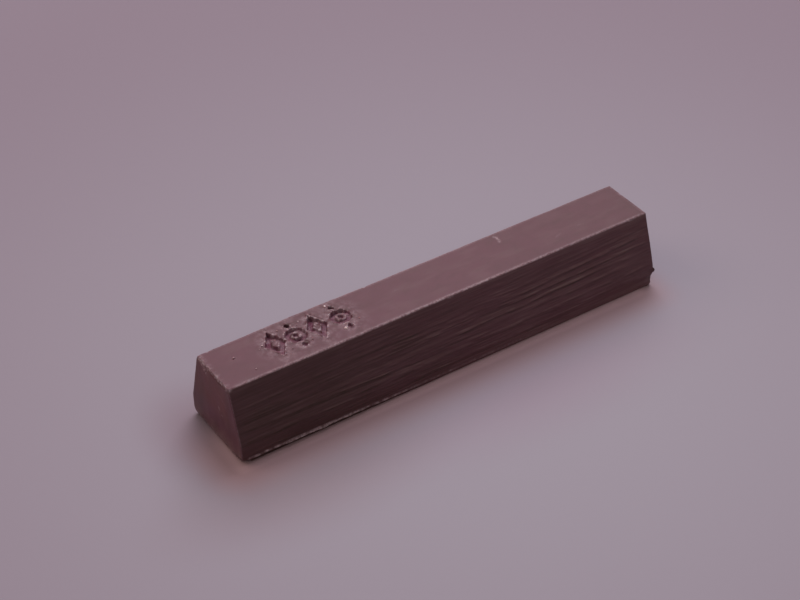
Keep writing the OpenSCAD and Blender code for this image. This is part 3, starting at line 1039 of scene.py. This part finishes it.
def make_waxy_surface():
    """Shared by the bar and its crumbs: colour, sheen and fine skin of hard wax, with its pale bloom and
    painted highlights, and its dark wax and painted shade.
    """
    group, start, end = new_group(
        "waxy surface",
        [("Coordinates", "Vector", None), ("Deep Wax", "Color", (0, 0, 0, 1)),
         ("Wax", "Color", (0, 0, 0, 1)), ("Pale Colour", "Color", (1, 1, 1, 1)),
         ("Deep Mask", "Float", 0.0), ("Pale Mask", "Float", 0.0)],
        [("Colour", "Color"), ("Roughness", "Float"), ("Skin", "Float")])
    where = start.outputs["Coordinates"]
    clouds = stretched_noise(group, where, *CLOUDS)
    clouds = remap(group, clouds, *NOISE_RANGE, 0.12, 0.0)
    shade = join_values(group, "ADD", start.outputs["Deep Mask"], clouds)
    body = mix_colours(group, shade, start.outputs["Wax"], start.outputs["Deep Wax"])
    specks = stretched_noise(group, where, *SPECKS)
    broken = remap(group, specks, 0.36, 0.62, 0.45, 1.25)
    bloom_and_highlight = multiply(group, start.outputs["Pale Mask"], broken)
    sheen = remap(group, specks, *NOISE_RANGE, *WAX_ROUGHNESS)
    sheen = join_values(group, "ADD", multiply(group, bloom_and_highlight, BLOOM_ROUGHNESS), sheen)
    feed(group, mix_colours(group, bloom_and_highlight, body, start.outputs["Pale Colour"]), end.inputs["Colour"])
    feed(group, sheen, end.inputs["Roughness"])
    feed(group, stretched_noise(group, where, *FINE_SKIN), end.inputs["Skin"])
    return group


def make_wax(name, surface, deep, plain, bloom_and_highlight, skin_depth, drawn=False):
    """Hard wax: the waxy surface, with hair-fine streaks along the sides that the mould drew."""
    material, tree, shader, where = new_material(name, WAX_LIGHT)
    wax = tree.nodes.new("ShaderNodeGroup")
    wax.node_tree = surface
    for label, value in (("Coordinates", where), ("Deep Wax", (*deep, 1)), ("Wax", (*plain, 1)),
                         ("Pale Colour", (*bloom_and_highlight, 1)), ("Pale Mask", read_mask(tree, "pale"))):
        feed(tree, value, wax.inputs[label])
    height = wax.outputs["Skin"]
    if drawn:
        streaks = stretched_noise(tree, where, *STREAKS)
        hazy = remap(tree, streaks, *NOISE_RANGE, 0.6, 1.4)
        body = mix_colours(tree, read_mask(tree, "ruddy"), (*plain, 1), (*RUDDY_WAX, 1))
        body = mix_colours(tree, read_mask(tree, "plum"), body, (*PLUM_WAX, 1))
        body = mix_colours(tree, multiply(tree, read_mask(tree, "haze"), hazy), body, (*HAZE_AND_HIGHLIGHT, 1))
        feed(tree, body, wax.inputs["Wax"])
        clear = remap(tree, streaks, *NOISE_RANGE, 1.15, 0.85)
        feed(tree, multiply(tree, read_mask(tree, "deep"), clear), wax.inputs["Deep Mask"])
        streaks = multiply(tree, streaks, read_mask(tree, "drawn"))
        height = join_values(tree, "ADD", multiply(tree, height, SKIN_BESIDE_STREAKS), streaks)
    feed(tree, wax.outputs["Colour"], shader.inputs["Base Color"])
    feed(tree, wax.outputs["Roughness"], shader.inputs["Roughness"])
    raise_skin(tree, shader, height, SKIN_STRENGTH, skin_depth)
    return material


def dress(shape, material):
    """Give a piece its material and the body that it rides on."""
    shape.data.materials.clear()
    shape.data.materials.append(material)
    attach(shape, "root")


# Floor, light and camera

# The floor: its size in metres, how far it lies under the foot, and the colours of its paint, which carry
# painted light and the bar's painted shadow
FLOOR_SIZE = 4
FLOOR_DROP = 0.02
FLOOR_COLOUR = (0.338, 0.292, 0.365, 1.0)
FLOOR_COLOUR_FAR = (0.263, 0.199, 0.260, 1.0)
FLOOR_SHADOW_COLOUR = (0.350, 0.215, 0.250, 1.0)
FLOOR_FOOT_LIGHT_COLOUR = (0.600, 0.385, 0.455, 1.0)
# Middle of the painted pool of light on the floor, and how far from there it starts and ends to darken
FLOOR_BRIGHTEST = (3.0, -16.0)
FLOOR_FADE = (0.0, 150.0)
# Where the bar's painted shadow on the floor fades out: away from the bar, to the back, and to the right
FLOOR_SHADOW = (0.3, 8.0)
FLOOR_SHADOW_BACK = (-5.0, 5.0)
FLOOR_SHADOW_RIGHT = (36.0, 46.0)
# Where the painted light on the floor at the bar's foot fades out: away from the bar, to the left,
# and to the right, and what is left of it at the left
FLOOR_FOOT_LIGHT = (0.0, 2.0)
FLOOR_FOOT_LIGHT_LEFT = (-38.0, -4.0)
FLOOR_FOOT_LIGHT_RIGHT = (37.0, 40.0)
FLOOR_FOOT_LIGHT_LEAST = 0.55
# Soft shades on the floor left of the bar and in front of it: middle, reach, and tint
FLOOR_SHADES = (
    ((-40.0, 1.5), (13.0, 18.0), (0.78, 0.65, 0.66, 1.0)),
    ((-33.0, -15.0), (32.0, 15.0), (0.88, 0.80, 0.79, 1.0)),
    ((8.0, -17.0), (42.0, 16.0), (0.965, 0.875, 0.91, 1.0)))
# Strength and depth of the floor's grain
FLOOR_RELIEF = (0.25, 0.03)

# The room's light on the object, and the plain backdrop that the camera sees
ROOM_COLOUR = (1.05, 1.02, 0.90, 1.0)
ROOM_STRENGTH = 0.303
BACKDROP_COLOUR = (0.240, 0.200, 0.228, 1.0)
BACKDROP_STRENGTH = 1.0
# The lamps: their distance in metres, and the name, direction from the bar, width in metres, power
# in watts, and colour of each
LAMP_DISTANCE = 1.4
LAMPS = (
    ("window light", (0.45, 0.58, 1.0), 1.1, 12.9, (1.0, 1.0, 1.0)),
    ("overhead light", (0.1, 0.15, 1.0), 1.1, 3.1, (1.0, 1.0, 1.0)),
    ("side light", (-0.7, 0.5, 0.7), 0.9, 3.4, (1.0, 0.82, 0.62)))

# The camera stands as the photograph's did: turn, tilt and roll in degrees, shifts and distance, its
# lens and film, and the nearest that it sees, in metres
CAMERA_TURN = -33.058
CAMERA_TILT = 38.173
CAMERA_ROLL = -0.859
CAMERA_ASIDE = -5.174
CAMERA_ABOVE = 7.555
CAMERA_DISTANCE = 309.577
CAMERA_LENS = 85
CAMERA_FILM = 36
CAMERA_NEAREST = 0.01


def floor_place(place, height=0):
    return [MM * c for c in place] + [height]


def make_floor_paint():
    """Matt pale paint with a painted pool of light that darkens far from the bar, the bar's painted
    shadows, warmer and darker close to it, and painted light at its foot.
    """
    material, tree, shader, where = new_material("matt pale floor", FLOOR_LIGHT)
    # Painted pool of light, darkest far from its middle
    away = join_vectors(tree, "DISTANCE", where, floor_place(FLOOR_BRIGHTEST))
    far = remap_over(tree, away, FLOOR_FADE, 0, 1)
    colour = mix_colours(tree, far, FLOOR_COLOUR, FLOOR_COLOUR_FAR)
    # Painted shadows of the bar, left of it and in front of it
    for place, reach, tint in FLOOR_SHADES:
        moved = join_vectors(tree, "SUBTRACT", where, floor_place(place))
        moved = join_vectors(tree, "DIVIDE", moved, floor_place(reach, 1))
        share = remap(tree, join_vectors(tree, "LENGTH", moved), 0, 1, 1, 0)
        shaded = mix_colours(tree, share, (1.0, 1.0, 1.0, 1.0), tint)
        colour = mix_colours(tree, 1.0, colour, shaded, "MULTIPLY")

    past_bar = join_vectors(tree, "ABSOLUTE", where)
    past_bar = join_vectors(tree, "SUBTRACT", past_bar, floor_place((BAR_LENGTH / 2, SKIRT_HALF_WIDTH)))
    past_bar = join_vectors(tree, "LENGTH", join_vectors(tree, "MAXIMUM", past_bar, (0, 0, 0)))
    axes = add_node(tree, "ShaderNodeSeparateXYZ", Vector=where)
    along = axes.outputs["X"]
    in_front = remap_over(tree, axes.outputs["Y"], FLOOR_SHADOW_BACK, 1, 0)
    # Painted shadow close to the bar, warmer and darker, mostly in front of it
    in_shadow = remap_over(tree, past_bar, FLOOR_SHADOW, 1, 0)
    in_shadow = multiply(tree, in_front, remap_over(tree, along, FLOOR_SHADOW_RIGHT, 1, 0), in_shadow)
    colour = mix_colours(tree, in_shadow, colour, FLOOR_SHADOW_COLOUR)
    # Painted light on the floor at the bar's foot, lifting its contact shadow
    foot_light = remap_over(tree, past_bar, FLOOR_FOOT_LIGHT, 1, 0)
    from_left = remap_over(tree, along, FLOOR_FOOT_LIGHT_LEFT, FLOOR_FOOT_LIGHT_LEAST, 1)
    to_right = remap_over(tree, along, FLOOR_FOOT_LIGHT_RIGHT, 1, 0)
    foot_light = multiply(tree, from_left, to_right, in_front, foot_light)
    colour = mix_colours(tree, foot_light, colour, FLOOR_FOOT_LIGHT_COLOUR)
    feed(tree, colour, shader.inputs["Base Color"])
    fine = stretched_noise(tree, where, *FLOOR_GRAIN)
    raise_skin(tree, shader, fine, *FLOOR_RELIEF)
    return material


def lay_floor():
    deselect_everything()
    bpy.ops.mesh.primitive_plane_add(size=FLOOR_SIZE, location=(0, 0, -MM * FLOOR_DROP))
    floor = bpy.context.object
    floor.name = "floor"
    floor.data.materials.append(make_floor_paint())


def hang_lamp(name, direction, width, power, colour):
    """A round soft lamp that faces the middle of the bar."""
    lamp = bpy.data.objects.new(name, bpy.data.lights.new(name, "AREA"))
    bpy.context.scene.collection.objects.link(lamp)
    lamp.data.shape = "DISK"
    lamp.data.size = width
    lamp.data.energy = power
    lamp.data.color = colour
    away = Vector(direction).normalized()
    lamp.location = away * LAMP_DISTANCE
    lamp.rotation_euler = away.to_track_quat("Z", "Y").to_euler()
    lamp.visible_camera = False


def light_the_room():
    world = bpy.data.worlds.new("soft room")
    bpy.context.scene.world = world
    world.use_nodes = True
    tree = world.node_tree
    sky = tree.nodes["Background"]
    sky.inputs["Color"].default_value = ROOM_COLOUR
    sky.inputs["Strength"].default_value = ROOM_STRENGTH
    backdrop = add_node(tree, "ShaderNodeBackground", Color=BACKDROP_COLOUR, Strength=BACKDROP_STRENGTH)
    seen = add_node(tree, "ShaderNodeLightPath").outputs["Is Camera Ray"]
    mix = tree.nodes.new("ShaderNodeMixShader")
    for socket, value in enumerate((seen, sky.outputs[0], backdrop.outputs[0])):
        tree.links.new(value, mix.inputs[socket])
    tree.links.new(mix.outputs[0], tree.nodes["World Output"].inputs["Surface"])
    for lamp in LAMPS:
        hang_lamp(*lamp)


def set_camera():
    turn = math.radians(CAMERA_TURN)
    tilt = math.radians(CAMERA_TILT)
    roll = math.radians(CAMERA_ROLL)
    away = Vector((math.sin(turn) * math.cos(tilt), -math.cos(turn) * math.cos(tilt), math.sin(tilt)))
    level = Vector((0, 0, 1)).cross(away).normalized()
    upright = away.cross(level)
    right = level * math.cos(roll) + upright * math.sin(roll)
    up = upright * math.cos(roll) - level * math.sin(roll)
    camera = bpy.data.objects.new("camera", bpy.data.cameras.new("camera"))
    bpy.context.scene.collection.objects.link(camera)
    stand = Matrix((right, up, away)).transposed().to_4x4()
    stand.translation = MM * (away * CAMERA_DISTANCE + right * CAMERA_ASIDE + up * CAMERA_ABOVE)
    camera.matrix_world = stand
    camera.data.lens = CAMERA_LENS
    camera.data.sensor_width = CAMERA_FILM
    camera.data.clip_start = CAMERA_NEAREST
    bpy.context.scene.camera = camera


# Putting it together

set_camera()
bar = cast_bar()
work_finish(bar)
smooth_faces(bar, SMOOTH_ANGLE)
crumbs = scatter_crumbs()
dust = scatter_dust()
waxy_surface = make_waxy_surface()
bar_wax = make_wax("hard brown wax", waxy_surface, DEEP_WAX, WAX, BLOOM_AND_HIGHLIGHT, BAR_SKIN, drawn=True)
crumb_wax = make_wax("dry crumbled wax", waxy_surface, WAX, CRUMB_WAX, CRUMB_PALE_AND_GLINT, CRUMB_SKIN)
dress(bar, bar_wax)
dress(crumbs, crumb_wax)
dress(dust, crumb_wax)
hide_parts("wax_bar")
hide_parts("wax_crumbs")
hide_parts("wax_crumbs")
lay_floor()
light_the_room()
bpy.context.scene.view_settings.view_transform = "Standard"
